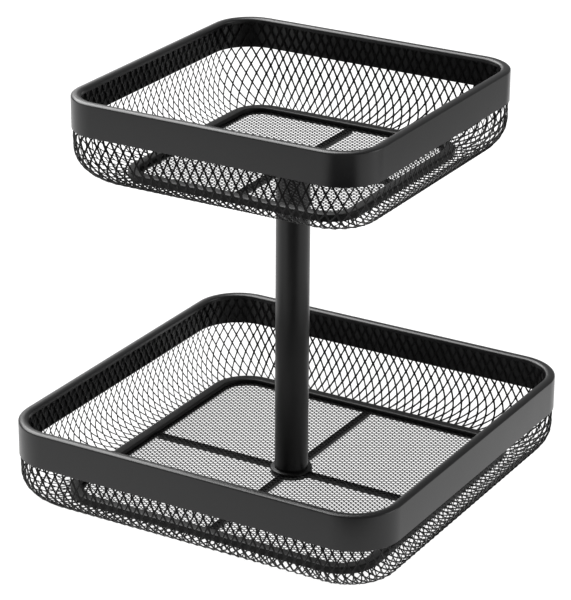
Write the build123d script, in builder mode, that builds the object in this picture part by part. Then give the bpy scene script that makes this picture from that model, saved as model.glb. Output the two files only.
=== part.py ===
from build123d import *
import os
from dataclasses import dataclass
from math import atan2, cos, hypot, pi, radians, sin

# Two-tier square wire basket: two net trays with folded sheet rims, screwed to the ends of a round pole.
# The origin is the middle of the lower tray's underside, X runs along the front, Y to the back, Z up.
# All sizes are in millimetres.

os.makedirs("parts", exist_ok=True)

# Trays
lower_width = 310.0
lower_corner = 36.5
lower_band_height = 27.0
upper_width = 244.0
upper_corner = 31.0
upper_band_height = 24.5
tray_depth = 64.0

# Rim band: sheet folded over at the top into a round-edged bead with a short inner lip
rim_sheet = 1.0
bead_width = 7.2
bead_outer_round = 2.4
bead_inner_round = 1.8
bead_folds = 1
lip_height = 3.6

# Side net: expanded sheet that hangs inside the rim band and curves in under it to the floor
net_sheet = 0.9
net_inset = 0.6
seat_gap = 0.3
belly_radius = 26.0
net_under_frame = 5.0
side_mesh_width = 22.8
side_mesh_height = 25.0
side_strand_share = 0.12

# Floor frame: pressed channel, open below, a step inside the end of the side net's belly, with a ledge
# for the floor net
lower_frame_step = 1.3
lower_frame_corner = 30.0
upper_frame_step = 3.4
upper_frame_corner = 24.0
channel_width = 8.2
channel_height = 6.2
channel_sheet = 0.9
ledge_width = 2.2

# Floor net and the bars and plate that it lies on
floor_net_sheet = 0.8
floor_mesh_width = 60.0
floor_mesh_depth = 37.0
floor_strand_share = 0.12
bar_width = 6.0
bar_height = 2.6
hub_diameter = 31.2

# Pole, its thread plugs and the washers between the pole and the nets
pole_diameter = 25.0
pole_wall = 1.2
pole_length = 239.1
plug_length = 16.0
plug_gap = 0.2
washer_thickness = 1.5

# Screws that hold the trays on the pole: countersunk below, button head on top
screw_diameter = 5.0
screw_reach = 12.0
screw_gap = 0.3
thread_gap = 0.1
sink_diameter = 10.0
button_diameter = 10.5
button_height = 2.8
socket_width = 3.0
socket_depth = 1.6

# One length that runs past whatever a cut has to clear
overrun = 5.0

# Heights that follow from the stack of hub plate, floor net, washer and pole
net_top = bar_height + floor_net_sheet
washer_top = net_top + washer_thickness
upper_underside = washer_top + pole_length


@dataclass
class Tray:
    """The sizes that differ between the two trays."""

    name: str
    underside: float
    width: float
    corner: float
    band_height: float
    frame_step: float
    frame_corner: float

    @property
    def frame_width(self):
        """The floor frame's width, which follows from the tray's and the belly's."""
        return self.width - 2 * (net_inset + belly_radius + self.frame_step)


def ring(width, corner, inset, low, high, mode=Mode.ADD):
    """A square ring with round corners between two heights, as wide as its inset."""
    with BuildSketch(Plane.XY.offset(low)) as outline:
        RectangleRounded(width, width, corner)
        inner = width - 2 * inset
        RectangleRounded(inner, inner, corner - inset, mode=Mode.SUBTRACT)
    extrude(outline.sketch, amount=high - low, mode=mode)


def folded_round(centre, radius, start_angle):
    """Points of a quarter round made in flats, clockwise from an angle in degrees."""
    angles = [start_angle - fold / bead_folds * 90 for fold in range(bead_folds + 1)]
    return [(centre[0] + radius * cos(radians(a)), centre[1] + radius * sin(radians(a))) for a in angles]


def rim_band(tray):
    """The band, its folded bead and inner lip, swept round the tray from the middle of the front."""
    half = tray.width / 2
    inner = half - bead_width
    top = tray.underside + tray_depth
    bottom = top - tray.band_height
    outer_centre = (-half + bead_outer_round, top - bead_outer_round)
    inner_centre = (-inner - bead_inner_round, top - bead_inner_round)
    with BuildPart() as band:
        with BuildLine() as path:
            middle = (0, -half)
            corners = [(half, -half), (half, half), (-half, half), (-half, -half)]
            rounds = [0] + [tray.corner] * len(corners)
            FilletPolyline(middle, *corners, radius=rounds, close=True)
        with BuildSketch(Plane(origin=(0, 0, 0), x_dir=(0, 1, 0), z_dir=(1, 0, 0))):
            with BuildLine():
                Polyline(
                    *folded_round(outer_centre, bead_outer_round, 180),
                    *folded_round(inner_centre, bead_inner_round, 90),
                    (-inner, top - lip_height),
                    (-inner - rim_sheet, top - lip_height),
                    (-inner - rim_sheet, top - rim_sheet),
                    (-half + bead_outer_round, top - rim_sheet),
                    (-half + rim_sheet, top - bead_outer_round),
                    (-half + rim_sheet, bottom),
                    (-half, bottom),
                    close=True,
                )
            make_face()
        sweep(path=path.line)
    return band


def bare_wall(tray):
    """Half width and top of the side net's bare part, which starts at the rim band's foot."""
    return tray.width / 2 - net_inset, tray_depth - tray.band_height - rim_sheet - 2 * seat_gap


def wall_length(tray):
    """The way down the side net's bare part: the upright and the quarter round of its belly."""
    return bare_wall(tray)[1] - belly_radius + belly_radius * pi / 2


def wall_point(tray, way, sheet):
    """Half width and height after a way down the bare wall and round its belly, set in by a sheet."""
    wall, top = bare_wall(tray)
    upright = min(way, top - belly_radius)
    turn = (way - upright) / belly_radius
    radius = belly_radius - sheet
    return wall - belly_radius + radius * cos(turn), top - upright - radius * sin(turn)


def net_corner(tray, half_width):
    """The side net's corner radius, which goes evenly from the rim band's to the floor frame's."""
    corner_share = (tray.width / 2 - half_width) / (tray.width / 2 - tray.frame_width / 2)
    return tray.corner + corner_share * (tray.frame_corner - tray.corner)


def meshes_along(tray):
    """How many meshes fit along the straight part of a side."""
    wall = bare_wall(tray)[0]
    return round(2 * (wall - net_corner(tray, wall)) / side_mesh_width)


def meshes_around(tray):
    """How many meshes fit round a corner."""
    return round(net_corner(tray, bare_wall(tray)[0]) * pi / 2 / side_mesh_width)


def mesh_pitch(tray, half_width):
    """The room for one mesh at a half width, where it is less: along a side or round a corner."""
    corner = net_corner(tray, half_width)
    return min(2 * (half_width - corner) / meshes_along(tray), corner * pi / 2 / meshes_around(tray))


def half_meshes_down(tray):
    """How many half meshes fit down the bare wall and round its belly."""
    return round(2 * wall_length(tray) / side_mesh_height)


def net_form(tray, sheet):
    """A solid with the outline of the side net, set in by a sheet, its bends folded along the meshes."""
    wall, top = bare_wall(tray)
    seat = tray.width / 2 - rim_sheet - seat_gap - sheet
    bends = [(seat, tray_depth - bead_outer_round - seat_gap), (seat, top + rim_sheet + seat_gap)]
    around = meshes_around(tray)
    down = half_meshes_down(tray)
    bends += [wall_point(tray, fold / down * wall_length(tray), sheet) for fold in range(down + 1)]
    with BuildPart() as form:
        for half_width, height in bends:
            corner = net_corner(tray, half_width)
            straight = half_width - corner
            quarter = [step / around * pi / 2 for step in range(around + 1)]
            bend = [(straight + corner * cos(a), straight + corner * sin(a)) for a in quarter]
            with BuildSketch(Plane.XY.offset(tray.underside + height)):
                with BuildLine():
                    Polyline(
                        *bend,
                        *[(-y, x) for x, y in bend],
                        *[(-x, -y) for x, y in bend],
                        *[(y, -x) for x, y in bend],
                        close=True,
                    )
                make_face()
        loft(ruled=True)
    return form.part


def mesh_planes(tray, high, low, shift):
    """Planes on the side net for one row of gaps, along the four sides and round the corners."""
    lean = atan2(high[0] - low[0], high[1] - low[1])
    half_width = (high[0] + low[0]) / 2
    height = tray.underside + (high[1] + low[1]) / 2
    corner = net_corner(tray, half_width)
    straight = half_width - corner
    along = meshes_along(tray)
    around = meshes_around(tray)
    planes = []
    for step in range(along + around):
        side = min(step + shift, along)
        angle = (step + shift - side) / around * pi / 2
        spot = (
            straight + corner * cos(angle),
            straight * (2 * side / along - 1) + corner * sin(angle),
            height,
        )
        outward = (cos(angle) * cos(lean), sin(angle) * cos(lean), -sin(lean))
        plane = Plane(origin=spot, x_dir=(-sin(angle), cos(angle), 0), z_dir=outward)
        turns = [Rotation(0, 0, quarter * 90) for quarter in range(4)]
        planes += [Plane(turn * plane.location) for turn in turns]
    return planes


def mesh(width, height, strand_share, mode=Mode.ADD):
    """One diamond gap of a net, as wide and high as its mesh less the share that is strand."""
    across = width * (1 - strand_share) / 2
    up = height * (1 - strand_share) / 2
    Polygon((-across, 0), (0, -up), (across, 0), (0, up), mode=mode)


def side_net(tray):
    """The side net: a bent shell, opened by staggered rows of diamonds all round."""
    outside = net_form(tray, 0)
    inside = net_form(tray, net_sheet)
    hem = tray.frame_width - 2 * net_under_frame
    down = half_meshes_down(tray)
    step = wall_length(tray) / down
    with BuildPart() as net:
        add(outside)
        add(inside, mode=Mode.SUBTRACT)
        with BuildSketch(Plane.XY.offset(tray.underside)):
            RectangleRounded(hem, hem, tray.frame_corner - net_under_frame)
        extrude(amount=net_sheet, mode=Mode.SUBTRACT)
        for row in range(down - 1):
            high = wall_point(tray, row * step, 0)
            low = wall_point(tray, (row + 2) * step, 0)
            pitch = mesh_pitch(tray, (high[0] + low[0]) / 2)
            with BuildSketch(*mesh_planes(tray, high, low, (row % 2 + 1) / 2)):
                mesh(pitch, hypot(high[0] - low[0], high[1] - low[1]), side_strand_share)
            extrude(amount=overrun, both=True, mode=Mode.SUBTRACT)
    return net


def floor_frame(tray):
    """The pressed channel under the floor's edge: outer wall, top, inner wall and ledge."""
    foot = tray.underside + net_sheet
    top = tray.underside + channel_height
    ledge_top = tray.underside + bar_height
    ledge_foot = ledge_top - channel_sheet
    inner_wall = channel_width - channel_sheet
    with BuildPart() as frame:
        ring(tray.frame_width, tray.frame_corner, channel_width, foot, top)
        hollow_width = tray.frame_width - 2 * channel_sheet
        hollow_corner = tray.frame_corner - channel_sheet
        ring(hollow_width, hollow_corner, inner_wall - channel_sheet, foot, top - channel_sheet, Mode.SUBTRACT)
        inner_width = tray.frame_width - 2 * inner_wall
        inner_corner = tray.frame_corner - inner_wall
        ring(inner_width, inner_corner, channel_sheet, foot, ledge_foot, Mode.SUBTRACT)
        ring(inner_width, inner_corner, channel_sheet + ledge_width, ledge_foot, ledge_top)
    return frame


def floor_net(tray):
    """The floor net: one flat sheet on the ledge, the bars and the hub plate, opened by diamonds."""
    inset = channel_width + seat_gap
    width = tray.frame_width - 2 * inset
    open_width = width - 2 * ledge_width
    across = round(open_width / floor_mesh_width)
    deep = round(open_width / floor_mesh_depth)
    pitch = (open_width / across, open_width / deep)
    plain = (hub_diameter + pitch[1]) / 2
    with BuildPart() as net:
        with BuildSketch(Plane.XY.offset(tray.underside + bar_height)):
            RectangleRounded(width, width, tray.frame_corner - inset)
            for fewer in (0, 1):
                grid = GridLocations(*pitch, across - fewer, deep - fewer)
                with Locations([spot for spot in grid if spot.position.length > plain]):
                    mesh(*pitch, floor_strand_share, Mode.SUBTRACT)
            Circle(screw_diameter / 2 + screw_gap, mode=Mode.SUBTRACT)
        extrude(amount=floor_net_sheet)
    return net


def bar(tray, quarter):
    """One straight bar from the hub plate's edge to the floor frame's ledge."""
    start = hub_diameter / 2
    end = tray.frame_width / 2 - channel_width - ledge_width
    with BuildPart() as strip:
        with BuildSketch(Plane.XY.offset(tray.underside).rotated((0, 0, quarter * 90))):
            with Locations(((start + end) / 2, 0)):
                Rectangle(end - start, bar_width)
        extrude(amount=bar_height)
    return strip


def hub_plate(tray, countersunk):
    """The disc under the floor net that the screw pulls against the pole."""
    with BuildPart() as plate:
        with BuildSketch(Plane.XY.offset(tray.underside)):
            Circle(hub_diameter / 2)
        extrude(amount=bar_height)
        with Locations(Plane(origin=(0, 0, tray.underside), z_dir=(0, 0, -1))):
            if countersunk:
                CounterSinkHole(screw_diameter / 2 + screw_gap, sink_diameter / 2, counter_sink_angle=90)
            else:
                Hole(screw_diameter / 2 + screw_gap)
    return plate


def disc(radius, bore, low, high):
    """A round piece with a bore between two heights: washer, plug or tube."""
    with BuildPart() as piece:
        with BuildSketch(Plane.XY.offset(low)):
            Circle(radius)
            Circle(bore, mode=Mode.SUBTRACT)
        extrude(amount=high - low)
    return piece


def finish(piece, name):
    """Names a finished piece and writes its file."""
    piece.part.label = name
    export_step(piece.part, f"parts/{name}.step")


lower = Tray(
    name="lower",
    underside=0,
    width=lower_width,
    corner=lower_corner,
    band_height=lower_band_height,
    frame_step=lower_frame_step,
    frame_corner=lower_frame_corner,
)
upper = Tray(
    name="upper",
    underside=upper_underside,
    width=upper_width,
    corner=upper_corner,
    band_height=upper_band_height,
    frame_step=upper_frame_step,
    frame_corner=upper_frame_corner,
)

for tray in (lower, upper):
    finish(rim_band(tray), f"{tray.name}_rim_band")
    finish(side_net(tray), f"{tray.name}_side_net")
    finish(floor_frame(tray), f"{tray.name}_floor_frame")
    finish(floor_net(tray), f"{tray.name}_floor_net")
    finish(hub_plate(tray, tray is lower), f"{tray.name}_hub_plate")
    for quarter, place in enumerate(("right", "back", "left", "front")):
        finish(bar(tray, quarter), f"{tray.name}_bar_{place}")

# Pole: a tube between the two floors, with a thread plug in each end
pole_radius = pole_diameter / 2
tube_bore = pole_radius - pole_wall
finish(disc(pole_radius, tube_bore, washer_top, upper_underside), "pole_tube")
plug_radius = tube_bore - plug_gap
thread_bore = screw_diameter / 2 + thread_gap
finish(disc(plug_radius, thread_bore, washer_top, washer_top + plug_length), "pole_bottom_plug")
finish(disc(plug_radius, thread_bore, upper_underside - plug_length, upper_underside), "pole_top_plug")

# Washers: one on each floor net, the lower one under the pole and the upper one under the screw head
washer_radius = hub_diameter / 2
washer_bore = screw_diameter / 2 + screw_gap
upper_net_top = upper_underside + net_top
upper_washer_top = upper_underside + washer_top
finish(disc(washer_radius, washer_bore, net_top, washer_top), "foot_washer")
finish(disc(washer_radius, washer_bore, upper_net_top, upper_washer_top), "top_washer")

# Countersunk screw, its head flush with the lower hub plate's underside
sink_radius = sink_diameter / 2 - thread_gap * 2
shank_radius = screw_diameter / 2
with BuildPart() as bottom_screw:
    with BuildSketch(Plane.XZ):
        Polygon(
            (0, 0),
            (sink_radius, 0),
            (shank_radius, sink_radius - shank_radius),
            (shank_radius, washer_top + screw_reach),
            (0, washer_top + screw_reach),
            align=None,
        )
    revolve(axis=Axis.Z)
    with BuildSketch(Plane.XY):
        RegularPolygon(socket_width / 2, 6, major_radius=False)
    extrude(amount=socket_depth, mode=Mode.SUBTRACT)
finish(bottom_screw, "bottom_screw")

# Button-head screw through the upper washer, floor net and hub plate into the top plug
button_radius = button_diameter / 2
with BuildPart() as top_screw:
    with BuildSketch(Plane.XZ):
        with BuildLine():
            Polyline(
                (0, upper_washer_top + button_height),
                (0, upper_underside - screw_reach),
                (shank_radius, upper_underside - screw_reach),
                (shank_radius, upper_washer_top),
                (button_radius, upper_washer_top),
                (socket_width, upper_washer_top + button_height),
                close=True,
            )
        make_face()
    revolve(axis=Axis.Z)
    with BuildSketch(Plane.XY.offset(upper_washer_top + button_height)):
        RegularPolygon(socket_width / 2, 6, major_radius=False)
    extrude(amount=-socket_depth, mode=Mode.SUBTRACT)
finish(top_screw, "top_screw")
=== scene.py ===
import logging
import math
from dataclasses import dataclass, replace
from enum import Enum

import bpy
from bpy.types import ID, Material, Mesh, Node, NodeSocket, NodeTree, Object
from mathutils import Matrix, Vector


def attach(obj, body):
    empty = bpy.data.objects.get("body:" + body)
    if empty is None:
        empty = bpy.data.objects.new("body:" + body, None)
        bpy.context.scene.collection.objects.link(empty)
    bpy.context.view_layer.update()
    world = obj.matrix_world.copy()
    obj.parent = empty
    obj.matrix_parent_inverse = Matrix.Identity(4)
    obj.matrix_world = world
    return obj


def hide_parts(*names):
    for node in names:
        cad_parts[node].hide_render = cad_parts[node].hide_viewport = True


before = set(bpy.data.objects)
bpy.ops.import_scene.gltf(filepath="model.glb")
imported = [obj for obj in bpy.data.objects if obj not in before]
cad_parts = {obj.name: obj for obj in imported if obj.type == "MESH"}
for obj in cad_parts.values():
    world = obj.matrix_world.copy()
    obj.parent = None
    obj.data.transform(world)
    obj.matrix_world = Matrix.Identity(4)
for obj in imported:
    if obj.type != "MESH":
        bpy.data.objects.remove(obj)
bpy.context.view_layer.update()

# All lengths are in metres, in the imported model's frame: the origin is the middle of the lower tray's
# underside, X runs along the front, Y to the back and Z up.

log = logging.getLogger("basket")

Pair = tuple[float, float]
Triple = tuple[float, float, float]
Outline = list[Pair]
Inputs = dict[str | int, object]

QUARTER_TURN = math.pi / 2
SIDES = 4.0  # How many sides a tray has.
WHITE = (1.0, 1.0, 1.0, 1.0)


# Numbers and nodes


@dataclass(frozen=True)
class Field:
    """A number carried by a node socket, on which arithmetic adds Math nodes."""

    socket: NodeSocket

    def math(self, operation: str, *values: object) -> "Field":
        """Adds one Math node to the socket's tree.

        Args:
            operation: The Math node's operation.
            values: Fields, sockets or plain numbers for its inputs, in order.

        Returns:
            The field that the node puts out.
        """
        nodes = Nodes(self.socket.id_data)
        node = nodes.add("ShaderNodeMath", dict(enumerate(values)), operation=operation)
        return Field(node.outputs[0])

    def __add__(self, other: object) -> "Field":
        """The sum of two values."""
        return self.math("ADD", self, other)

    def __sub__(self, other: object) -> "Field":
        """This value less another."""
        return self.math("SUBTRACT", self, other)

    def __rsub__(self, other: object) -> "Field":
        """Another value less this one."""
        return self.math("SUBTRACT", other, self)

    def __mul__(self, other: object) -> "Field":
        """The product of two values."""
        return self.math("MULTIPLY", self, other)

    def __truediv__(self, other: object) -> "Field":
        """This value over another."""
        return self.math("DIVIDE", self, other)

    def least(self, other: object) -> "Field":
        """The lesser of two values."""
        return self.math("MINIMUM", self, other)

    def most(self, other: object) -> "Field":
        """The greater of two values."""
        return self.math("MAXIMUM", self, other)

    def within(self, other: object) -> "Field":
        """The value kept between nothing and another value."""
        return self.least(other).most(0.0)

    def above(self, other: object) -> "Field":
        """One where this value is greater than another, else nothing."""
        return self.math("GREATER_THAN", self, other)

    def below(self, other: object) -> "Field":
        """One where this value is less than another, else nothing."""
        return self.math("LESS_THAN", self, other)

    def size(self) -> "Field":
        """The value without its sign."""
        return self.math("ABSOLUTE", self)

    def sign(self) -> "Field":
        """One with the value's sign."""
        return self.math("SIGN", self)

    def floor(self) -> "Field":
        """The value rounded down."""
        return self.math("FLOOR", self)

    def cos(self) -> "Field":
        """The cosine of the value in radians."""
        return self.math("COSINE", self)

    def sin(self) -> "Field":
        """The sine of the value in radians."""
        return self.math("SINE", self)

    def hypot(self, other: "Field") -> "Field":
        """The length of the diagonal over two values."""
        total = self * self + other * other
        return total.math("SQRT", total)


@dataclass
class Nodes:
    """Adds nodes and links to one node tree."""

    tree: NodeTree

    def feed(self, socket: NodeSocket, value: object) -> None:
        """Links a field or a socket to an input, or sets the input to a plain value.

        Args:
            socket: The input that takes the value.
            value: A field, a socket, a list of them for an input that joins several, or a plain value.
        """
        for item in value if isinstance(value, list) else [value]:
            if isinstance(item, Field):
                self.tree.links.new(item.socket, socket)
            elif isinstance(item, NodeSocket):
                self.tree.links.new(item, socket)
            else:
                socket.default_value = item

    def add(self, kind: str, inputs: Inputs | None = None, **settings: object) -> Node:
        """Adds one node.

        Args:
            kind: The node's type name.
            inputs: Values for its inputs, by name or number.
            settings: The node's own properties.

        Returns:
            The new node.
        """
        node = self.tree.nodes.new(kind)
        for name, value in settings.items():
            setattr(node, name, value)
        for name, value in (inputs or {}).items():
            self.feed(node.inputs[name], value)
        return node

    def shape(self, kind: str, inputs: Inputs | None = None, **settings: object) -> NodeSocket:
        """Adds one node and gives its first output, which carries the geometry or the value."""
        return self.add(kind, inputs, **settings).outputs[0]

    def vector(self, x: object, y: object, z: object) -> NodeSocket:
        """Puts three numbers together into a vector."""
        return self.shape("ShaderNodeCombineXYZ", {0: x, 1: y, 2: z})

    def position(self) -> tuple[Field, Field, Field]:
        """The place of each point, edge or face as three fields."""
        node = self.add("ShaderNodeSeparateXYZ", {0: self.shape("GeometryNodeInputPosition")})
        return tuple(Field(output) for output in node.outputs)

    def moved(self, geometry: object, position: object, selection: object = True) -> NodeSocket:
        """Puts a geometry's selected points at a position."""
        inputs = {"Geometry": geometry, "Selection": selection, "Position": position}
        return self.shape("GeometryNodeSetPosition", inputs)

    def without(self, geometry: object, selection: object) -> NodeSocket:
        """Leaves a geometry's selected faces out."""
        inputs = {"Geometry": geometry, "Selection": selection}
        return self.shape("GeometryNodeDeleteGeometry", inputs, domain="FACE")

    def welded(self, geometry: object, distance: float) -> NodeSocket:
        """Makes one point of those that are nearer to each other than a distance."""
        return self.shape("GeometryNodeMergeByDistance", {"Geometry": geometry, "Distance": distance})


class Socket(Enum):
    """The kinds of input and output that the node groups here have."""

    GEOMETRY = "NodeSocketGeometry"
    NUMBER = "NodeSocketFloat"
    COUNT = "NodeSocketInt"
    VECTOR = "NodeSocketVector"
    COLOUR = "NodeSocketColor"
    OBJECT = "NodeSocketObject"
    FINISH = "NodeSocketMaterial"


Sockets = dict[Socket, tuple[str, ...]]


class TreeKind(Enum):
    """The kinds of node tree that the groups here are."""

    SHAPE = "GeometryNodeTree"
    SHADER = "ShaderNodeTree"


class Group(Nodes):
    """A node group with named inputs and outputs, built in the script."""

    def __init__(
        self, name: str, inputs: Sockets, outputs: Sockets, kind: TreeKind = TreeKind.SHAPE
    ) -> None:
        """Makes the group and its interface.

        Args:
            name: The group's name.
            inputs: The names of its inputs under their kinds.
            outputs: The names of its outputs under their kinds.
            kind: What the group makes.
        """
        super().__init__(bpy.data.node_groups.new(name, kind.value))
        for side, sockets in (("INPUT", inputs), ("OUTPUT", outputs)):
            for socket, titles in sockets.items():
                for title in titles:
                    self.tree.interface.new_socket(name=title, in_out=side, socket_type=socket.value)
        self.given = self.tree.nodes.new("NodeGroupInput")
        self.result = self.tree.nodes.new("NodeGroupOutput")

    def __getitem__(self, name: str) -> Field:
        """One of the group's inputs, as a field."""
        return Field(self.given.outputs[name])

    def give(self, name: str, value: object) -> None:
        """Feeds one of the group's outputs."""
        self.feed(self.result.inputs[name], value)


# Shapes that follow a rule, as node groups

PLAIN_DIAMOND, EASED_DIAMOND = 4, 8  # How many corners a gap has.
ON_AXIS = 0.05  # A tile's point this near to its axis, in meshes, lies on it.
TILE_WELD = 0.01  # Points of two tiles this near to each other, in meshes, are one.
WELD = 0.00001  # The same in metres, for the front and the back of a sheet.
LYING_DOWN = 0.35  # Over this last angle of the belly the leaning strands lie down for the flange.
TINY = 0.000001  # Keeps a division off nothing.
EDGE_SLACK = 1.0001  # A face centred on a corner's edge still counts as inside.
INWARD = "inward"  # The attribute that leads from a point through the sheet to its back.


def lattice_group() -> NodeTree:
    """A flat lattice of diamond gaps, one unit wide and high each, from the origin to Across and Rows.

    Returns:
        The group. Loop is 1 for a lattice that closes on itself sideways. Corners is 4 for plain
        diamonds and 8 for diamonds with eased tips. The two leans lift the strands like slats that
        turn about the upright or about the level.
    """
    group = Group(
        "diamond_lattice",
        {
            Socket.COUNT: ("Across", "Rows", "Loop", "Corners"),
            Socket.NUMBER: ("Strand share", "Tip share", "Side lean", "Rise lean"),
        },
        {Socket.GEOMETRY: ("Lattice",)},
    )
    x, y, _ = group.position()
    from_axis = x.size().least(y.size())
    disc = group.shape(
        "GeometryNodeMeshCircle", {"Vertices": group["Corners"], "Radius": 0.5}, fill_type="NGON"
    )
    # The points between the tips come in from the round to the diamond's straight sides.
    pull = 1.0 - from_axis.above(ON_AXIS) * (1.0 - math.sqrt(0.5))
    tile = group.moved(disc, group.vector(x * pull, y * pull, 0.0))
    inset = group.add("GeometryNodeExtrudeMesh", {"Mesh": tile, "Offset Scale": 0.0, "Individual": True})
    gap = inset.outputs["Top"]
    keep = 1.0 - group["Strand share"] - from_axis.below(ON_AXIS) * group["Tip share"]
    gap_edge = group.vector(x * keep, y * keep, y * group["Rise lean"] + x * group["Side lean"])
    ring = group.without(group.moved(inset.outputs["Mesh"], gap_edge, gap), gap)
    across, rows, loop = group["Across"], group["Rows"], group["Loop"]
    fills = []
    for more, shift in ((0.0, 0.5), (1.0, 0.0)):
        wide = across + (1.0 - loop) * more
        high = rows + more
        grid = group.shape(
            "GeometryNodeMeshGrid",
            {"Size X": wide - 1.0, "Size Y": high - 1.0, "Vertices X": wide, "Vertices Y": high},
        )
        middle = group.vector((wide - 1.0) / 2.0 + shift, (high - 1.0) / 2.0 + shift, 0.0)
        placed = group.shape("GeometryNodeTransform", {"Geometry": grid, "Translation": middle})
        fills.append(group.shape("GeometryNodeInstanceOnPoints", {"Points": placed, "Instance": ring}))
    joined = group.shape("GeometryNodeJoinGeometry", {"Geometry": fills})
    real = group.shape("GeometryNodeRealizeInstances", {"Geometry": joined})
    beyond = y.above(rows) + y.below(0.0)
    beside = (x.above(across) + x.below(0.0)) * (1.0 - loop)
    group.give("Lattice", group.welded(group.without(real, beyond + beside), TILE_WELD))
    return group.tree


def thickness_group() -> NodeTree:
    """Gives an open surface a closed thickness, behind it by the vector that its points store.

    Returns:
        The group.
    """
    group = Group("sheet_thickness", {Socket.GEOMETRY: ("Surface",)}, {Socket.GEOMETRY: ("Sheet",)})
    inward = group.shape("GeometryNodeInputNamedAttribute", {"Name": INWARD}, data_type="FLOAT_VECTOR")
    front = group.welded(group["Surface"], WELD)
    pushed = group.shape(
        "GeometryNodeExtrudeMesh",
        {"Mesh": front, "Offset": inward, "Offset Scale": 1.0, "Individual": False},
    )
    back = group.shape("GeometryNodeFlipFaces", {"Mesh": pushed})
    closed = group.welded(group.shape("GeometryNodeJoinGeometry", {"Geometry": [front, back]}), WELD)
    group.give("Sheet", group.shape("GeometryNodeRemoveAttribute", {"Geometry": closed, "Name": INWARD}))
    return group.tree


def finished(group: Group, shape: object) -> None:
    """Ends a piece's tree: real geometry with the finish on it.

    Args:
        group: The piece's group, with an input Finish and an output Piece.
        shape: The geometry that the piece is made of.
    """
    real = group.shape("GeometryNodeRealizeInstances", {"Geometry": shape})
    coated = group.shape("GeometryNodeSetMaterial", {"Geometry": real, "Material": group["Finish"]})
    group.give("Piece", coated)


def finished_net(group: Group, flat: object, inward: object, position: object, thickness: NodeTree) -> None:
    """Ends a net's tree: the lattice moved into place, thick and with the finish on it.

    Args:
        group: The net's group.
        flat: The geometry of its lattice.
        inward: The vector that leads from each point through the sheet to its back.
        position: Where each point goes.
        thickness: The group that gives the net its thickness.
    """
    stored = group.shape(
        "GeometryNodeStoreNamedAttribute",
        {"Geometry": flat, "Name": INWARD, "Value": inward},
        data_type="FLOAT_VECTOR",
        domain="POINT",
    )
    placed = group.moved(stored, position)
    finished(group, group.shape("GeometryNodeGroup", {"Surface": placed}, node_tree=thickness))


def side_net_group(lattice: NodeTree, thickness: NodeTree) -> NodeTree:
    """The side net: a lattice wrapped round a tray, from behind the band down round the belly to a flange.

    Args:
        lattice: The group that makes the flat lattice.
        thickness: The group that gives it its thickness.

    Returns:
        The group that makes the whole net.
    """
    numbers = (
        "Top", "Seat half", "Wall half", "Outer half", "Frame half", "Band corner", "Frame corner",
        "Seat length", "Shoulder drop", "Upright length", "Belly radius", "Flange length",
        "Strand share", "Tip share", "Lean", "Sheet",
    )
    group = Group(
        "side_net",
        {Socket.NUMBER: numbers, Socket.COUNT: ("Along", "Around", "Rows"), Socket.FINISH: ("Finish",)},
        {Socket.GEOMETRY: ("Piece",)},
    )
    quarter_count = group["Along"] + group["Around"]
    flat = group.shape(
        "GeometryNodeGroup",
        {name: group[name] for name in ("Rows", "Strand share", "Tip share")}
        | {"Across": quarter_count * SIDES, "Loop": 1, "Corners": EASED_DIAMOND}
        | {"Side lean": group["Lean"], "Rise lean": 0.0},
        node_tree=lattice,
    )
    u, v, lift = group.position()

    # Down the wall: the seat behind the band, a shoulder, the upright, the belly and the flange.
    shoulder = group["Wall half"] - group["Seat half"]
    shoulder_length = shoulder.hypot(group["Shoulder drop"])
    radius = group["Belly radius"]
    arc_length = radius * QUARTER_TURN
    upright_start = group["Seat length"] + shoulder_length
    arc_start = upright_start + group["Upright length"]
    whole = arc_start + arc_length + group["Flange length"]
    way = (group["Rows"] - v) * (whole / group["Rows"])
    seat_way = way.least(group["Seat length"])
    shoulder_share = (way - group["Seat length"]).within(shoulder_length) / shoulder_length
    upright_way = (way - upright_start).within(group["Upright length"])
    turn = (way - arc_start).within(arc_length) / radius
    flange_way = (way - arc_start - arc_length).most(0.0)
    half = group["Seat half"] + shoulder_share * shoulder - radius * (1.0 - turn.cos()) - flange_way
    height = group["Top"] - seat_way - shoulder_share * group["Shoulder drop"] - upright_way
    height = height - radius * turn.sin()

    # Round the tray: the first quarter's side and corner, turned to each quarter's own place.
    inset_share = (group["Outer half"] - half) / (group["Outer half"] - group["Frame half"])
    corner = group["Band corner"] + inset_share * (group["Frame corner"] - group["Band corner"])
    straight = half - corner
    quarter = (u / quarter_count).floor()
    step = u - quarter * quarter_count
    side = step.least(group["Along"])
    angle = (step - side) / group["Around"] * QUARTER_TURN
    flatten = ((QUARTER_TURN - turn) / LYING_DOWN).least(1.0)
    raised = (lift - group["Lean"].size() * 0.5 * turn.cos()) * group["Sheet"] * flatten
    reach = corner + raised * turn.cos()
    local_x = straight + reach * angle.cos()
    local_y = straight * (side / group["Along"] * 2.0 - 1.0) + reach * angle.sin()
    wheel = quarter * QUARTER_TURN

    def turned(x: Field, y: Field, z: Field) -> NodeSocket:
        """A vector turned from the first quarter of the tray to its own."""
        return group.vector(x * wheel.cos() - y * wheel.sin(), x * wheel.sin() + y * wheel.cos(), z)

    back = group["Sheet"] * turn.cos() * -1.0
    inward = turned(back * angle.cos(), back * angle.sin(), group["Sheet"] * turn.sin())
    finished_net(group, flat, inward, turned(local_x, local_y, height - raised * turn.sin()), thickness)
    return group.tree


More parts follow.
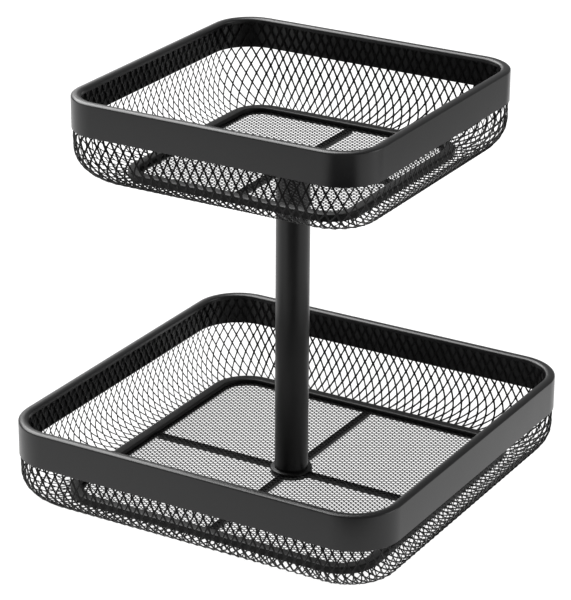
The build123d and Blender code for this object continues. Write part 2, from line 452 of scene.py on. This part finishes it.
def floor_net_group(lattice: NodeTree, thickness: NodeTree) -> NodeTree:
    """The floor net: a flat lattice trimmed to a square with round corners and a hole in the middle.

    Args:
        lattice: The group that makes the flat lattice.
        thickness: The group that gives it its thickness.

    Returns:
        The group that makes the whole net.
    """
    numbers = ("Width", "Corner", "Hole radius", "Top", "Sheet", "Strand share", "Lean")
    group = Group(
        "floor_net",
        {Socket.NUMBER: numbers, Socket.COUNT: ("Across", "Deep"), Socket.FINISH: ("Finish",)},
        {Socket.GEOMETRY: ("Piece",)},
    )
    flat = group.shape(
        "GeometryNodeGroup",
        {name: group[name] for name in ("Across", "Strand share")}
        | {"Rows": group["Deep"], "Loop": 0, "Corners": PLAIN_DIAMOND}
        | {"Tip share": 0.0, "Side lean": 0.0, "Rise lean": group["Lean"]},
        node_tree=lattice,
    )
    u, v, lift = group.position()
    width = group["Width"]
    height = group["Top"] + (lift - group["Lean"] * 0.5) * group["Sheet"]
    place = group.vector((u / group["Across"] - 0.5) * width, (v / group["Deep"] - 0.5) * width, height)
    spread = group.moved(flat, place)

    # Faces beyond the outline go, and the points of those that cross it come in to it.
    x, y, z = group.position()
    straight = width * 0.5 - group["Corner"]
    over_x = (x.size() - straight).most(0.0)
    over_y = (y.size() - straight).most(0.0)
    over = over_x.hypot(over_y).most(TINY)
    middle = x.hypot(y).most(TINY)
    outside = over.above(group["Corner"] * EDGE_SLACK) + middle.below(group["Hole radius"])
    pull = (group["Corner"] / over).least(1.0)
    push = (group["Hole radius"] / middle).most(1.0)
    trimmed = group.vector(
        x.sign() * (x.size().least(straight) + over_x * pull) * push,
        y.sign() * (y.size().least(straight) + over_y * pull) * push,
        z,
    )
    inward = group.vector(0.0, 0.0, group["Sheet"] * -1.0)
    finished_net(group, group.without(spread, outside), inward, trimmed, thickness)
    return group.tree


def section_group() -> NodeTree:
    """A section carried round a square path with round corners: the section's X points out, its Y down.

    Returns:
        The group.
    """
    group = Group(
        "section_round_a_square",
        {
            Socket.OBJECT: ("Section",),
            Socket.NUMBER: ("Width", "Corner"),
            Socket.COUNT: ("Corner steps",),
            Socket.FINISH: ("Finish",),
        },
        {Socket.GEOMETRY: ("Piece",)},
    )
    square = group.shape(
        "GeometryNodeCurvePrimitiveQuadrilateral", {"Width": group["Width"], "Height": group["Width"]}
    )
    path = group.shape(
        "GeometryNodeFilletCurve",
        {"Curve": square, "Count": group["Corner steps"], "Radius": group["Corner"]},
        mode="POLY",
    )
    level = group.shape("GeometryNodeSetCurveNormal", {"Curve": path}, mode="Z_UP")
    section = group.add("GeometryNodeObjectInfo", {"Object": group["Section"]}).outputs["Geometry"]
    swept = group.shape("GeometryNodeCurveToMesh", {"Curve": level, "Profile Curve": section})
    finished(group, group.shape("GeometryNodeFlipFaces", {"Mesh": swept}))
    return group.tree


# Pieces

NET_BEND = math.radians(40)  # Edges of a net that bend more than this stay sharp.
PRESSED_BEND = math.radians(25)  # The same for pressed and turned pieces.


def new_object(name: str, data: ID) -> Object:
    """Makes an object and puts it into the scene.

    Args:
        name: The object's name.
        data: Its mesh, curve, light or camera.

    Returns:
        The object.
    """
    made = bpy.data.objects.new(name, data)
    bpy.context.scene.collection.objects.link(made)
    return made


def keep_piece(name: str, mesh: Mesh, slot: str, *nodes: str) -> None:
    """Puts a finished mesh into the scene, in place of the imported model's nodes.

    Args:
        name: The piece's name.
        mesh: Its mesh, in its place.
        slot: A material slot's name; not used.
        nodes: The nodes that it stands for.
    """
    piece = new_object(name, mesh)
    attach(piece, "root")
    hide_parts(*nodes)
    log.info("%s: %d faces", name, len(mesh.polygons))


def dress_node(node: str, finish: Material) -> None:
    """Puts a finish on a node whose solid stays as it is.

    Args:
        node: The node's name.
        finish: The material for all its slots.
    """
    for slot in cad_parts[node].material_slots:
        slot.material = finish
    log.info("%s: finish %s", node, finish.name)


def grow(tree: NodeTree, values: dict[str, object], sharp_bend: float) -> Mesh:
    """Makes a plain mesh from a piece's node group.

    Args:
        tree: The piece's group.
        values: The values of its inputs, by name.
        sharp_bend: Edges that bend more than this, in radians, stay sharp.

    Returns:
        The mesh, with no modifier left on it.
    """
    carrier = new_object("carrier", bpy.data.meshes.new("carrier"))
    modifier = carrier.modifiers.new("shape", "NODES")
    modifier.node_group = tree
    for item in tree.interface.items_tree:
        if item.item_type == "SOCKET" and item.in_out == "INPUT":
            modifier[item.identifier] = values[item.name]
    graph = bpy.context.evaluated_depsgraph_get()
    mesh = bpy.data.meshes.new_from_object(carrier.evaluated_get(graph), depsgraph=graph)
    bpy.data.objects.remove(carrier)
    mesh.shade_smooth()
    mesh.set_sharp_from_angle(angle=sharp_bend)
    return mesh


def arc(
    centre: Pair, radius: float, start: float, end: float, steps: int, rise: float | None = None
) -> Outline:
    """Points of a round or an oval, from one angle to another in degrees.

    Args:
        centre: The round's centre.
        radius: Its radius, or half an oval's width.
        start: The first point's angle.
        end: The last point's angle.
        steps: How many flats it has.
        rise: Half an oval's height, where it isn't the radius.

    Returns:
        The points as pairs.
    """
    high = radius if rise is None else rise
    angles = [math.radians(start + (end - start) * step / steps) for step in range(steps + 1)]
    return [(centre[0] + radius * math.cos(a), centre[1] + high * math.sin(a)) for a in angles]


def section_object(points: Outline) -> Object:
    """A closed section as a curve, for the group that carries it round a tray.

    Args:
        points: Its corners as how far out and how high they are.

    Returns:
        The curve's object, to be removed after use.
    """
    curve = bpy.data.curves.new("section", "CURVE")
    curve.dimensions = "2D"
    curve.fill_mode = "NONE"
    spline = curve.splines.new("POLY")
    spline.points.add(len(points) - 1)
    for point, (out, up) in zip(spline.points, points):
        point.co = (out, -up, 0.0, 1.0)
    spline.use_cyclic_u = True
    return new_object("section", curve)


HALF_FLAT = math.pi / 6  # Half of what one flat of a hexagon takes of the turn.


@dataclass(frozen=True)
class Ring:
    """One level of a turned piece: a circle, or a hexagon across its flats."""

    radius: float
    height: float
    six_sided: bool = False

    def reach(self, angle: float) -> float:
        """How far out the ring is at an angle in radians."""
        from_flat = (angle + HALF_FLAT) % (HALF_FLAT * 2) - HALF_FLAT
        return self.radius / math.cos(from_flat) if self.six_sided else self.radius


def turned_mesh(name: str, rings: list[Ring], steps: int, finish: Material) -> Mesh:
    """A turned piece from a closed outline of rings, listed with the outside going up.

    Args:
        name: The mesh's name.
        rings: The levels in order. One of no radius is a point on the axis.
        steps: How many flats go round.
        finish: The piece's material.

    Returns:
        The mesh, closed, its faces pointing out.
    """
    points: list[Vector] = []
    levels: list[list[int]] = []
    for ring in rings:
        count = steps if ring.radius > 0 else 1
        levels.append(list(range(len(points), len(points) + count)))
        for step in range(count):
            angle = step / steps * 2 * math.pi
            reach = ring.reach(angle)
            points.append(Vector((reach * math.cos(angle), reach * math.sin(angle), ring.height)))
    faces: list[tuple[int, ...]] = []
    for low, high in zip(levels, levels[1:] + levels[:1]):
        for step in range(steps):
            ways = ((low, step), (low, step + 1), (high, step + 1), (high, step))
            face = tuple(dict.fromkeys(level[at % len(level)] for level, at in ways))
            if len(face) > 2:
                faces.append(face)
    mesh = bpy.data.meshes.new(name)
    mesh.from_pydata(points, [], faces)
    mesh.materials.append(finish)
    mesh.shade_smooth()
    mesh.set_sharp_from_angle(angle=PRESSED_BEND)
    return mesh


# Finishes

MIX_FACTOR, MIX_A, MIX_B, MIX_RESULT = 0, 6, 7, 2  # A Mix node's inputs and output for colours.
NOISE_MIDDLE = 0.5
DRIFT_DETAIL, GRAIN_DETAIL = 3.0, 2.0
GRAIN_WEIGHT = 0.5  # The grain's part in the roughness, next to the drift's.

BLACK, CHARCOAL = (0.0035, 0.0035, 0.0038), (0.0065, 0.0065, 0.0068)
SOOT, ASH = (0.002, 0.002, 0.002), (0.004, 0.004, 0.004)
BRUSHED = (1.0, 1.0, 0.05)  # Stretches a skin's marks along the piece's height.


def grain_group() -> NodeTree:
    """The fine skin of a sprayed or brushed surface, shared by all finishes.

    Returns:
        The group. It puts out a colour that drifts a little, a roughness that drifts with it, and a
        height for the small dimples of the skin.
    """
    group = Group(
        "surface_skin",
        {
            Socket.COLOUR: ("Colour", "Drift colour"),
            Socket.NUMBER: ("Drift per metre", "Roughness", "Roughness spread", "Grain per metre"),
            Socket.VECTOR: ("Stretch",),
        },
        {Socket.COLOUR: ("Colour",), Socket.NUMBER: ("Roughness", "Height")},
        TreeKind.SHADER,
    )

    def noise(place: object, scale: str, detail: float) -> Field:
        """A noise over the surface, as fine as one of the group's inputs says."""
        inputs = {"Vector": place, "Scale": group[scale], "Detail": detail}
        return Field(group.shape("ShaderNodeTexNoise", inputs))

    place = group.add("ShaderNodeTexCoord").outputs["Object"]
    long = group.shape("ShaderNodeVectorMath", {0: place, 1: group["Stretch"]}, operation="MULTIPLY")
    drift = noise(place, "Drift per metre", DRIFT_DETAIL)
    grain = noise(long, "Grain per metre", GRAIN_DETAIL)
    colours = {MIX_FACTOR: drift, MIX_A: group["Colour"], MIX_B: group["Drift colour"]}
    mixed = group.add("ShaderNodeMix", colours, data_type="RGBA")
    wander = (drift - NOISE_MIDDLE) + (grain - NOISE_MIDDLE) * GRAIN_WEIGHT
    group.give("Colour", mixed.outputs[MIX_RESULT])
    group.give("Roughness", group["Roughness"] + wander * group["Roughness spread"])
    group.give("Height", grain)
    return group.tree


def new_material(name: str) -> tuple[Material, Node]:
    """Makes a material and finds its Principled shader.

    Args:
        name: The material's name.

    Returns:
        The material and the shader's node.
    """
    material = bpy.data.materials.new(name)
    material.use_nodes = True
    return material, next(node for node in material.node_tree.nodes if node.type == "BSDF_PRINCIPLED")


@dataclass(frozen=True)
class Finish:
    """A surface finish: its colour, its gloss and its skin, whose drift and grain are counts per metre."""

    name: str
    colour: Triple
    drift_colour: Triple
    roughness: float
    spread: float
    grain: float
    relief: float
    drift: float = 60.0
    stretch: Triple = (1.0, 1.0, 1.0)
    metallic: float = 0.0
    specular: float = 0.5

    def material(self, skin: NodeTree) -> Material:
        """Builds the finish as a material.

        Args:
            skin: The shared group for the surface's skin.

        Returns:
            The material.
        """
        material, shader = new_material(self.name)
        nodes = Nodes(material.node_tree)
        surface = nodes.add(
            "ShaderNodeGroup",
            {
                "Colour": (*self.colour, 1.0),
                "Drift colour": (*self.drift_colour, 1.0),
                "Drift per metre": self.drift,
                "Roughness": self.roughness,
                "Roughness spread": self.spread,
                "Grain per metre": self.grain,
                "Stretch": self.stretch,
            },
            node_tree=skin,
        )
        bump = nodes.shape("ShaderNodeBump", {"Distance": self.relief, "Height": surface.outputs["Height"]})
        nodes.feed(shader.inputs["Base Color"], surface.outputs["Colour"])
        nodes.feed(shader.inputs["Roughness"], surface.outputs["Roughness"])
        nodes.feed(shader.inputs["Normal"], bump)
        nodes.feed(shader.inputs["Metallic"], self.metallic)
        nodes.feed(shader.inputs["Specular IOR Level"], self.specular)
        return material


@dataclass(frozen=True)
class Finishes:
    """The materials of all pieces."""

    band: Material
    net: Material
    floor: Material
    channel: Material
    pole: Material
    washer: Material
    screw: Material
    plug: Material


def make_finishes() -> Finishes:
    """Builds each finish once.

    Returns:
        The finished materials.
    """
    band = Finish(
        "satin_black_band", BLACK, CHARCOAL,
        roughness=0.30, spread=0.08, grain=900.0, relief=0.00003, specular=0.42,
    )
    net = Finish(
        "matt_black_net", SOOT, ASH,
        roughness=0.45, spread=0.12, grain=1500.0, relief=0.00003, specular=0.2,
    )
    channel = Finish(
        "satin_black_channel", SOOT, ASH,
        roughness=0.42, spread=0.10, grain=1100.0, relief=0.00003, specular=0.25,
    )
    pole = Finish(
        "satin_black_pole", SOOT, ASH,
        roughness=0.34, spread=0.08, grain=1100.0, relief=0.00002, specular=0.35,
    )
    washer = replace(pole, name="black_washer", roughness=0.40, spread=0.10, specular=0.28)
    screw = Finish(
        "brushed_screw_steel", (0.42, 0.41, 0.39), (0.52, 0.51, 0.49),
        roughness=0.34, spread=0.14, grain=2500.0, relief=0.00001, stretch=BRUSHED, metallic=1.0,
    )
    plug = Finish(
        "brushed_plug_steel", (0.36, 0.35, 0.33), (0.46, 0.45, 0.43),
        roughness=0.42, spread=0.16, grain=1800.0, relief=0.00002, stretch=BRUSHED, metallic=1.0,
    )
    floor = replace(net, name="matt_black_floor_net")
    skin = grain_group()
    order = (band, net, floor, channel, pole, washer, screw, plug)
    return Finishes(*(finish.material(skin) for finish in order))


# The object


@dataclass(frozen=True)
class Kit:
    """The node groups and the materials that the trays are built with."""

    section: NodeTree
    side_net: NodeTree
    floor_net: NodeTree
    finishes: Finishes


@dataclass(frozen=True)
class Net:
    """The sizes of expanded sheet that both trays share."""

    sheet: float = 0.0005
    inset: float = 0.0006
    seat_gap: float = 0.0003
    top_gap: float = 0.0027
    under_frame: float = 0.005
    mesh_height: float = 0.0134
    strand_share: float = 0.15
    tip_share: float = 0.03
    lean: float = 1.5
    floor_sheet: float = 0.0003
    floor_height: float = 0.0008
    floor_hole: float = 0.0028
    floor_mesh: Pair = (0.0060, 0.0036)
    floor_strand_share: float = 0.29
    floor_lean: float = 1.5


@dataclass(frozen=True)
class Band:
    """The rim band's sheet, its bead and inner lip."""

    sheet: float = 0.001
    bead_width: float = 0.0072
    bead_rise: float = 0.0018
    bead_steps: int = 24
    lining_steps: int = 16
    lip_height: float = 0.0036


@dataclass(frozen=True)
class Channel:
    """The pressed channel of the floor frame."""

    width: float = 0.0082
    height: float = 0.0062
    foot: float = 0.0009
    sheet: float = 0.0009
    bend: float = 0.0014
    bend_steps: int = 5
    lining_steps: int = 3
    ledge: float = 0.0022
    ledge_top: float = 0.0026


@dataclass(frozen=True)
class Tray:
    """One tray: rim band, side net, floor frame and floor net."""

    kit: Kit
    name: str
    underside: float
    width: float
    corner: float
    band_height: float
    frame_half: float
    frame_corner: float
    belly_radius: float
    meshes_along: int
    meshes_around: int
    depth: float = 0.064
    corner_steps: int = 18
    net: Net = Net()
    band: Band = Band()
    channel: Channel = Channel()

    def sweep(self, points: Outline, width: float, corner: float, finish: Material) -> Mesh:
        """Carries a section round the tray.

        Args:
            points: The section's corners, outwards and upwards from the path.
            width: The path's width.
            corner: The path's corner radius.
            finish: The piece's material.

        Returns:
            The piece's mesh.
        """
        section = section_object(points)
        path = {"Width": width, "Corner": corner, "Corner steps": self.corner_steps}
        mesh = grow(self.kit.section, path | {"Section": section, "Finish": finish}, PRESSED_BEND)
        bpy.data.objects.remove(section)
        return mesh

    def rim(self) -> None:
        """Builds the rim band with its smooth bead and inner lip."""
        band = self.band
        top = self.underside + self.depth
        foot = top - self.band_height
        lip_foot = top - band.lip_height
        inner, sheet, ease = -band.bead_width, band.sheet, band.sheet / 4
        reach, rise = band.bead_width / 2, band.bead_rise
        middle = (-reach, top - rise)
        points = [
            *arc(middle, reach, 0, 180, band.bead_steps, rise),
            (inner, lip_foot),
            (inner + sheet, lip_foot),
            *arc(middle, reach - sheet, 180, 0, band.lining_steps, rise - sheet),
            (-sheet, foot + ease),
            (ease - sheet, foot),
            (-ease, foot),
            (0.0, foot + ease),
        ]
        mesh = self.sweep(points, self.width, self.corner, self.kit.finishes.band)
        keep_piece(f"{self.name}_rim", mesh, "rim_coat", f"{self.name}_rim_band")

    def frame(self) -> None:
        """Builds the floor frame with its rounded bends."""
        channel = self.channel
        foot = self.underside + channel.foot
        top = self.underside + channel.height
        ledge = self.underside + channel.ledge_top
        inner, sheet, bend = -channel.width, channel.sheet, channel.bend
        outer_bend, inner_bend = (-bend, top - bend), (inner + bend, top - bend)
        points = [
            (0.0, foot),
            *arc(outer_bend, bend, 0, 90, channel.bend_steps),
            *arc(inner_bend, bend, 90, 180, channel.bend_steps),
            (inner, ledge),
            (inner - channel.ledge, ledge),
            (inner - channel.ledge, ledge - sheet),
            (inner + sheet, ledge - sheet),
            *arc(inner_bend, bend - sheet, 180, 90, channel.lining_steps),
            *arc(outer_bend, bend - sheet, 90, 0, channel.lining_steps),
            (-sheet, foot),
        ]
        mesh = self.sweep(points, self.frame_half * 2, self.frame_corner, self.kit.finishes.channel)
        keep_piece(f"{self.name}_channel", mesh, "frame_coat", f"{self.name}_floor_frame")

    def sides(self) -> None:
        """Builds the side net in its full fineness."""
        net, band = self.net, self.band
        half = self.width / 2
        wall_half = half - net.inset
        top = self.underside + self.depth - net.top_gap
        seat_foot = self.underside + self.depth - self.band_height - net.seat_gap
        drop = band.sheet + net.seat_gap
        upright = seat_foot - drop - self.belly_radius - self.underside
        flange = wall_half - self.belly_radius - self.frame_half + net.under_frame
        whole = top - seat_foot + drop + upright + self.belly_radius * QUARTER_TURN + flange
        values = {
            "Top": top,
            "Seat half": half - band.sheet - net.seat_gap,
            "Wall half": wall_half,
            "Outer half": half,
            "Frame half": self.frame_half,
            "Band corner": self.corner,
            "Frame corner": self.frame_corner,
            "Seat length": top - seat_foot,
            "Shoulder drop": drop,
            "Upright length": upright,
            "Belly radius": self.belly_radius,
            "Flange length": flange,
            "Strand share": net.strand_share,
            "Tip share": net.tip_share,
            "Lean": net.lean,
            "Sheet": net.sheet,
            "Along": self.meshes_along,
            "Around": self.meshes_around,
            "Rows": round(whole / net.mesh_height),
            "Finish": self.kit.finishes.net,
        }
        mesh = grow(self.kit.side_net, values, NET_BEND)
        keep_piece(f"{self.name}_sides", mesh, "net_coat", f"{self.name}_side_net")

    def floor(self) -> None:
        """Builds the floor net in its full fineness."""
        net = self.net
        inset = self.channel.width + net.seat_gap
        width = 2 * (self.frame_half - inset)
        values = {
            "Width": width,
            "Corner": self.frame_corner - inset,
            "Hole radius": net.floor_hole,
            "Top": self.underside + self.channel.ledge_top + net.floor_height,
            "Sheet": net.floor_sheet,
            "Strand share": net.floor_strand_share,
            "Lean": net.floor_lean,
            "Across": round(width / net.floor_mesh[0]),
            "Deep": round(width / net.floor_mesh[1]),
            "Finish": self.kit.finishes.floor,
        }
        mesh = grow(self.kit.floor_net, values, NET_BEND)
        keep_piece(f"{self.name}_base", mesh, "net_coat", f"{self.name}_floor_net")

    def build(self) -> None:
        """Builds the tray, and dresses the bars and the hub plate, whose solids stay."""
        self.rim()
        self.sides()
        self.frame()
        self.floor()
        for part in ("hub_plate", "bar_right", "bar_back", "bar_left", "bar_front"):
            dress_node(f"{self.name}_{part}", self.kit.finishes.channel)


@dataclass(frozen=True)
class Column:
    """The pole with its plugs, washers and screws."""

    finishes: Finishes
    radius: float = 0.0125
    wall: float = 0.0012
    foot: float = 0.0049
    head: float = 0.2440
    pole_steps: int = 96
    washer_radius: float = 0.0156
    washer_thickness: float = 0.0015
    washer_steps: int = 72
    bore: float = 0.0028
    net_top: float = 0.0034
    screw_radius: float = 0.0025
    screw_reach: float = 0.012
    screw_steps: int = 48
    thread_pitch: float = 0.0008
    thread_depth: float = 0.0003
    tip_ease: float = 0.0006
    sink_radius: float = 0.0048
    sink_ease: Pair = (0.0002, 0.0001)
    sink_neck: float = 0.0005
    button_radius: float = 0.00525
    button_height: float = 0.0028
    button_edge: float = 0.0006
    button_ease: float = 0.0001
    button_neck: float = 0.0004
    dome_steps: int = 6
    socket: float = 0.0015
    socket_depth: float = 0.0016
    socket_flat: float = 1.25
    sink_drill_point: float = 0.0004
    button_drill_point: float = 0.0003

    def tube(self) -> None:
        """Builds the pole's tube with softened ends."""
        ease = self.wall / 5
        inner = self.radius - self.wall
        rings = [
            Ring(self.radius - ease, self.foot),
            Ring(self.radius, self.foot + ease),
            Ring(self.radius, self.head - ease),
            Ring(self.radius - ease, self.head),
            Ring(inner, self.head),
            Ring(inner, self.foot),
        ]
        mesh = turned_mesh("pole", rings, self.pole_steps, self.finishes.pole)
        keep_piece("pole", mesh, "pole_coat", "pole_tube")

    def washer(self, name: str, node: str, low: float) -> None:
        """Builds one washer with pressed, rounded edges.

        Args:
            name: The piece's name.
            node: The node that it stands for.
            low: The height of its underside.
        """
        high = low + self.washer_thickness
        ease = self.washer_thickness / 3
        nick = ease * 0.3
        rings = [
            Ring(self.bore, low),
            Ring(self.washer_radius, low),
            Ring(self.washer_radius, high - ease),
            Ring(self.washer_radius - nick, high - nick),
            Ring(self.washer_radius - ease, high),
            Ring(self.bore, high),
        ]
        mesh = turned_mesh(name, rings, self.washer_steps, self.finishes.washer)
        keep_piece(name, mesh, "washer_coat", node)

    def thread(self, low: float, high: float) -> list[Ring]:
        """The outside of a screw thread, in small grooves.

        Args:
            low: The height where it starts.
            high: The height where it ends.

        Returns:
            Its rings from low to high.
        """
        count = round((high - low) / self.thread_pitch)
        step = (high - low) / count
        rings: list[Ring] = []
        for turn in range(count):
            rings.append(Ring(self.screw_radius - self.thread_depth, low + turn * step))
            rings.append(Ring(self.screw_radius, low + (turn + 0.5) * step))
        return rings

    def bottom_screw(self) -> None:
        """Builds the countersunk screw with its six-sided socket."""
        tip = self.foot + self.screw_reach
        cone = self.sink_radius - self.screw_radius
        ease_in, ease_up = self.sink_ease
        rings = [
            Ring(0.0, self.socket_depth + self.sink_drill_point),
            Ring(self.socket, self.socket_depth, True),
            Ring(self.socket, 0.0, True),
            Ring(self.sink_radius - ease_in, 0.0),
            Ring(self.sink_radius, ease_up),
            Ring(self.screw_radius, cone),
            *self.thread(cone + self.sink_neck, tip - self.tip_ease),
            Ring(self.screw_radius - self.tip_ease, tip),
            Ring(0.0, tip),
        ]
        mesh = turned_mesh("sunk_screw", rings, self.screw_steps, self.finishes.screw)
        keep_piece("sunk_screw", mesh, "screw_steel", "bottom_screw")

    def top_screw(self) -> None:
        """Builds the button-head screw with its dome and six-sided socket."""
        tip = self.head - self.screw_reach
        seat = self.head + self.net_top + self.washer_thickness
        top = seat + self.button_height
        flat = self.socket * self.socket_flat
        edge = seat + self.button_edge
        rise = self.button_height - self.button_edge
        dome = arc((flat, edge), self.button_radius - flat, 0, 90, self.dome_steps, rise)
        rings = [
            Ring(0.0, tip),
            Ring(self.screw_radius - self.tip_ease, tip),
            *self.thread(tip + self.tip_ease, seat - self.button_neck),
            Ring(self.screw_radius, seat),
            Ring(self.button_radius - self.button_ease, seat),
            Ring(self.button_radius, seat + self.button_ease),
            *(Ring(out, up) for out, up in dome),
            Ring(self.socket, top, True),
            Ring(self.socket, top - self.socket_depth, True),
            Ring(0.0, top - self.socket_depth - self.button_drill_point),
        ]
        mesh = turned_mesh("button_screw", rings, self.screw_steps, self.finishes.screw)
        keep_piece("button_screw", mesh, "screw_steel", "top_screw")

    def build(self) -> None:
        """Builds every piece of the column and dresses its plugs."""
        self.tube()
        self.washer("foot_ring", "foot_washer", self.net_top)
        self.washer("top_ring", "top_washer", self.head + self.net_top)
        self.bottom_screw()
        self.top_screw()
        for node in ("pole_bottom_plug", "pole_top_plug"):
            dress_node(node, self.finishes.plug)


# Light, floor and camera

LIGHT_TARGET = Vector((0.0, 0.0, 0.15))


@dataclass(frozen=True)
class Softbox:
    """One square area light that looks at the lights' target."""

    name: str
    place: Triple
    size: float
    watts: float

    def build(self) -> None:
        """Adds the light."""
        data = bpy.data.lights.new(self.name, "AREA")
        data.size = self.size
        data.energy = self.watts
        light = new_object(self.name, data)
        light.location = self.place
        light.rotation_euler = (LIGHT_TARGET - light.location).to_track_quat("-Z", "Y").to_euler()


@dataclass(frozen=True)
class StageSheet:
    """A flat sheet of the stage that glows, from 0 for black to 1 for white."""

    name: str
    outline: tuple[Pair, ...]
    glow: float
    height: float = 0.002
    colour: Triple = (0.0, 0.0, 0.0)
    roughness: float = 1.0
    specular: float = 0.0
    mirrored_only: bool = True

    def build(self) -> None:
        """Lays the sheet down, seen by all or in reflections only."""
        mesh = bpy.data.meshes.new(self.name)
        corners = [(x, y, self.height) for x, y in self.outline]
        mesh.from_pydata(corners, [], [tuple(range(len(corners)))])
        material, shader = new_material(self.name)
        shader.inputs["Base Color"].default_value = (*self.colour, 1.0)
        shader.inputs["Roughness"].default_value = self.roughness
        shader.inputs["Specular IOR Level"].default_value = self.specular
        shader.inputs["Emission Color"].default_value = WHITE
        shader.inputs["Emission Strength"].default_value = self.glow
        mesh.materials.append(material)
        sheet = new_object(self.name, mesh)
        if self.mirrored_only:
            sheet.visible_camera = sheet.visible_diffuse = sheet.visible_shadow = False


# The floor lies a hair under the object. The cards darken what the bands mirror.
STAGE = (
    StageSheet(
        "floor", ((-3.5, -3.5), (3.5, -3.5), (3.5, 3.5), (-3.5, 3.5)), glow=0.95, height=-0.0002,
        colour=(0.12, 0.12, 0.12), roughness=0.8, specular=0.5, mirrored_only=False,
    ),
    StageSheet(
        "black_card", ((-0.11, -0.50), (0.18, -2.09), (1.73, -1.19), (0.49, -0.15), (0.17, -0.30)), glow=0.0
    ),
    StageSheet("grey_card", ((0.32, 0.45), (1.30, 0.45), (1.30, 1.80), (0.32, 1.80)), glow=0.48),
)

SOFTBOXES = (
    Softbox("right", (2.4, 1.0, 0.9), 1.4, 18.0),
    Softbox("left_front", (-1.8, -1.6, 1.0), 1.2, 3.5),
    Softbox("left_above", (-1.35, 0.35, 2.10), 2.2, 120.0),
    Softbox("behind", (-2.3, 2.0, 1.15), 1.6, 8.0),
)


@dataclass(frozen=True)
class Studio:
    """The stage, the soft light and the camera at the photograph's angle."""

    sky_strength: float = 0.32
    focal_pixels: float = 2742.7
    image_height: float = 600.0
    sensor: float = 36.0
    near: float = 0.05
    far: float = 50.0
    azimuth: float = 30.221
    elevation: float = 22.548
    roll: float = 0.359
    distance: float = 2.0012
    aim_height: float = 0.13916
    aim_side: float = -0.00511

    def light(self) -> None:
        """Sets the softboxes and the even sky, which is as pale as the floor where the camera sees it."""
        world = bpy.data.worlds.new("studio")
        world.use_nodes = True
        nodes = Nodes(world.node_tree)
        lit = world.node_tree.nodes["Background"]
        nodes.feed(lit.inputs["Color"], WHITE)
        nodes.feed(lit.inputs["Strength"], self.sky_strength)
        seen = nodes.shape("ShaderNodeBackground", {"Color": WHITE, "Strength": 1.0})
        straight = nodes.add("ShaderNodeLightPath").outputs["Is Camera Ray"]
        sky = nodes.shape("ShaderNodeMixShader", {0: straight, 1: lit.outputs[0], 2: seen})
        nodes.feed(world.node_tree.nodes["World Output"].inputs["Surface"], sky)
        bpy.context.scene.world = world
        for softbox in SOFTBOXES:
            softbox.build()

    def camera(self) -> None:
        """Places the camera at the photograph's angle."""
        side, rise, roll = (math.radians(a) for a in (self.azimuth, self.elevation, self.roll))
        back = Vector((math.sin(side) * math.cos(rise), -math.cos(side) * math.cos(rise), math.sin(rise)))
        right = Vector((math.cos(side), math.sin(side), 0.0))
        up = back.cross(right)
        right_rolled = right * math.cos(roll) + up * math.sin(roll)
        up_rolled = up * math.cos(roll) - right * math.sin(roll)
        place = right * self.aim_side + Vector((0.0, 0.0, self.aim_height)) + back * self.distance
        data = bpy.data.cameras.new("camera")
        data.sensor_width = self.sensor
        data.lens = self.focal_pixels / self.image_height * self.sensor
        data.clip_start, data.clip_end = self.near, self.far
        turn = Matrix((right_rolled, up_rolled, back)).transposed()
        camera = new_object("camera", data)
        camera.matrix_world = Matrix.Translation(place) @ turn.to_4x4()
        bpy.context.scene.camera = camera

    def build(self) -> None:
        """Builds floor, cards, light and camera."""
        bpy.context.scene.view_settings.view_transform = "Standard"
        for sheet in STAGE:
            sheet.build()
        self.light()
        self.camera()


def main() -> None:
    """Builds all pieces in order."""
    logging.basicConfig(level=logging.INFO, format="%(name)s: %(message)s")
    finishes = make_finishes()
    nets = (lattice_group(), thickness_group())
    kit = Kit(section_group(), side_net_group(*nets), floor_net_group(*nets), finishes)
    Tray(
        kit, "lower", underside=0.0, width=0.310, corner=0.0365, band_height=0.0270, frame_half=0.1271,
        frame_corner=0.030, belly_radius=0.0240, meshes_along=32, meshes_around=8,
    ).build()
    Tray(
        kit, "upper", underside=0.2440, width=0.244, corner=0.0310, band_height=0.0245, frame_half=0.0920,
        frame_corner=0.024, belly_radius=0.0265, meshes_along=25, meshes_around=6,
    ).build()
    Column(finishes).build()
    Studio().build()


if __name__ == "__main__":
    main()
